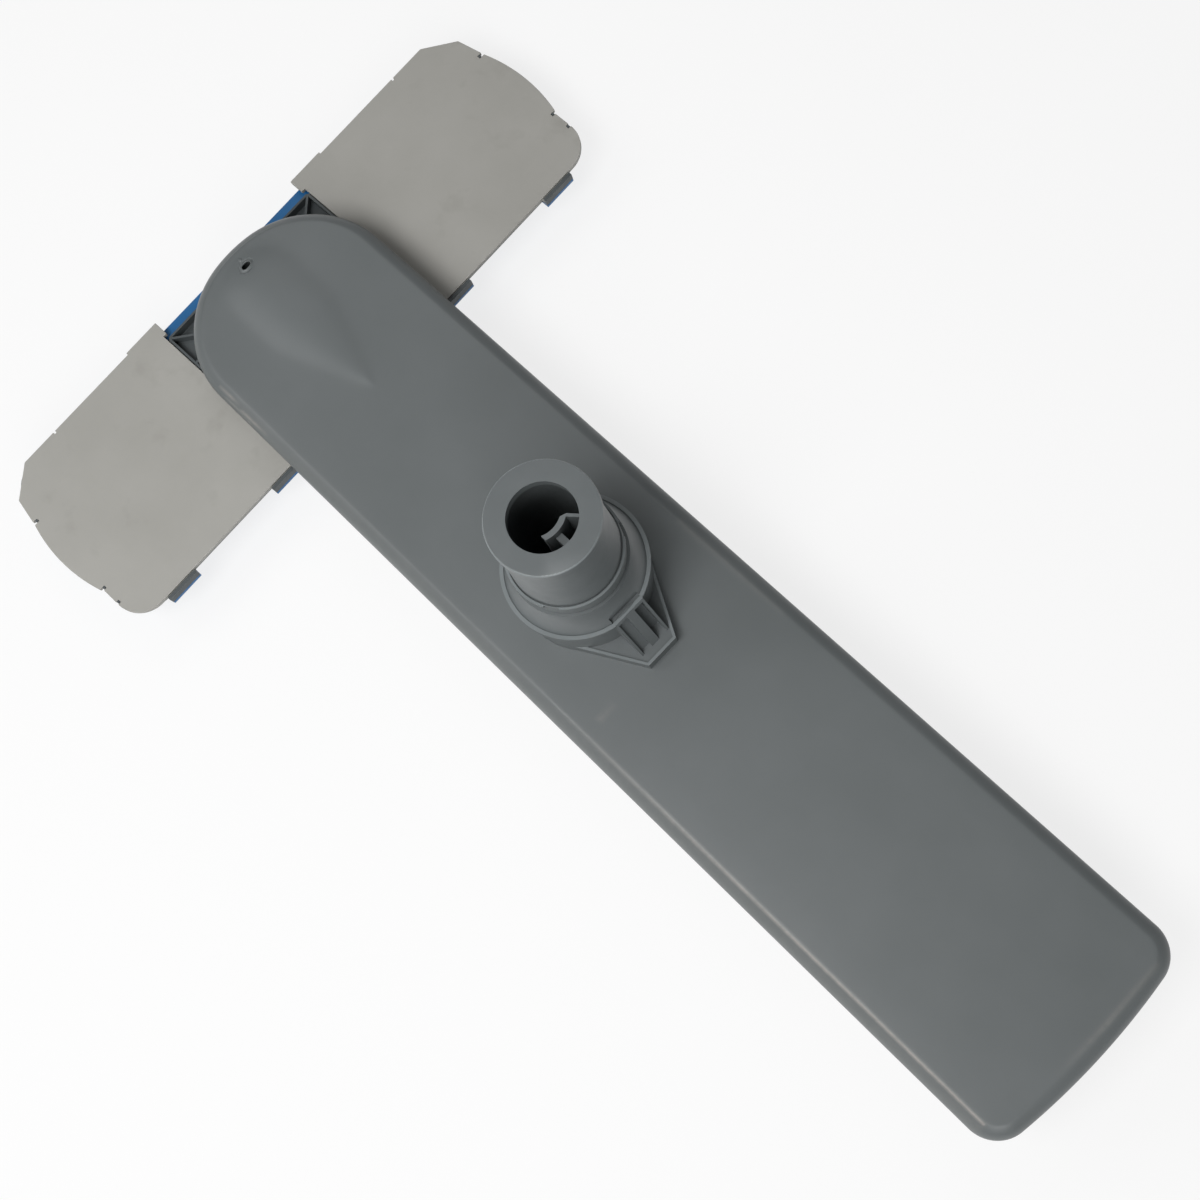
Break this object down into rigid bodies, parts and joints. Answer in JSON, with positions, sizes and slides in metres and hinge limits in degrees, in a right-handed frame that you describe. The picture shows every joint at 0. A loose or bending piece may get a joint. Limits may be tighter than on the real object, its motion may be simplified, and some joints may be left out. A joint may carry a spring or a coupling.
{
  "type": "dishwasher spray arm",
  "caption": "Flat spray arm that turns on its upright inlet tube and feeds a two-bladed rotor that spins on one end.",
  "frame": {"origin": "centre of the inlet tube's mouth, in the plane of its rim", "axes": "+Z along the inlet tube's axis out of its mouth, +X along the arm towards the rotor, +Y to the left blade"},
  "size_m": [0.3819, 0.226, 0.1064],
  "materials": {
    "arm_grey": "satin moulded",
    "hub_grey": "satin moulded",
    "frame_grey": "satin moulded",
    "spray_blue": "semi-gloss moulded",
    "cover_grey": "fine matt moulded",
    "bearing_plastic": "smooth turned"
  },
  "bodies": {
    "hub": {"hub_tube": "hub_grey", "hub_thrust_washer": "bearing_plastic"},
    "arm": {"hub_collar": "hub_grey", "arm_lower_shell": "arm_grey", "arm_upper_shell": "arm_grey", "rotor_spigot": "hub_grey", "rotor_cap": "frame_grey"},
    "rotor": {"rotor_frame": "frame_grey", "rotor_spray_shell": "spray_blue", "rotor_cover_left": "cover_grey", "rotor_cover_right": "cover_grey", "rotor_upper_bush": "bearing_plastic", "rotor_lower_bush": "bearing_plastic"}
  },
  "joints": [
    {"name": "arm_spin", "type": "hinge", "parent": "hub", "child": "arm", "pos_m": [0, 0, -0.0723], "axis": [0, 0, 1], "continuous": true},
    {"name": "rotor_spin", "type": "hinge", "parent": "arm", "child": "rotor", "pos_m": [0.1435, 0, -0.089], "axis": [0, 0, 1], "continuous": true}
  ]
}
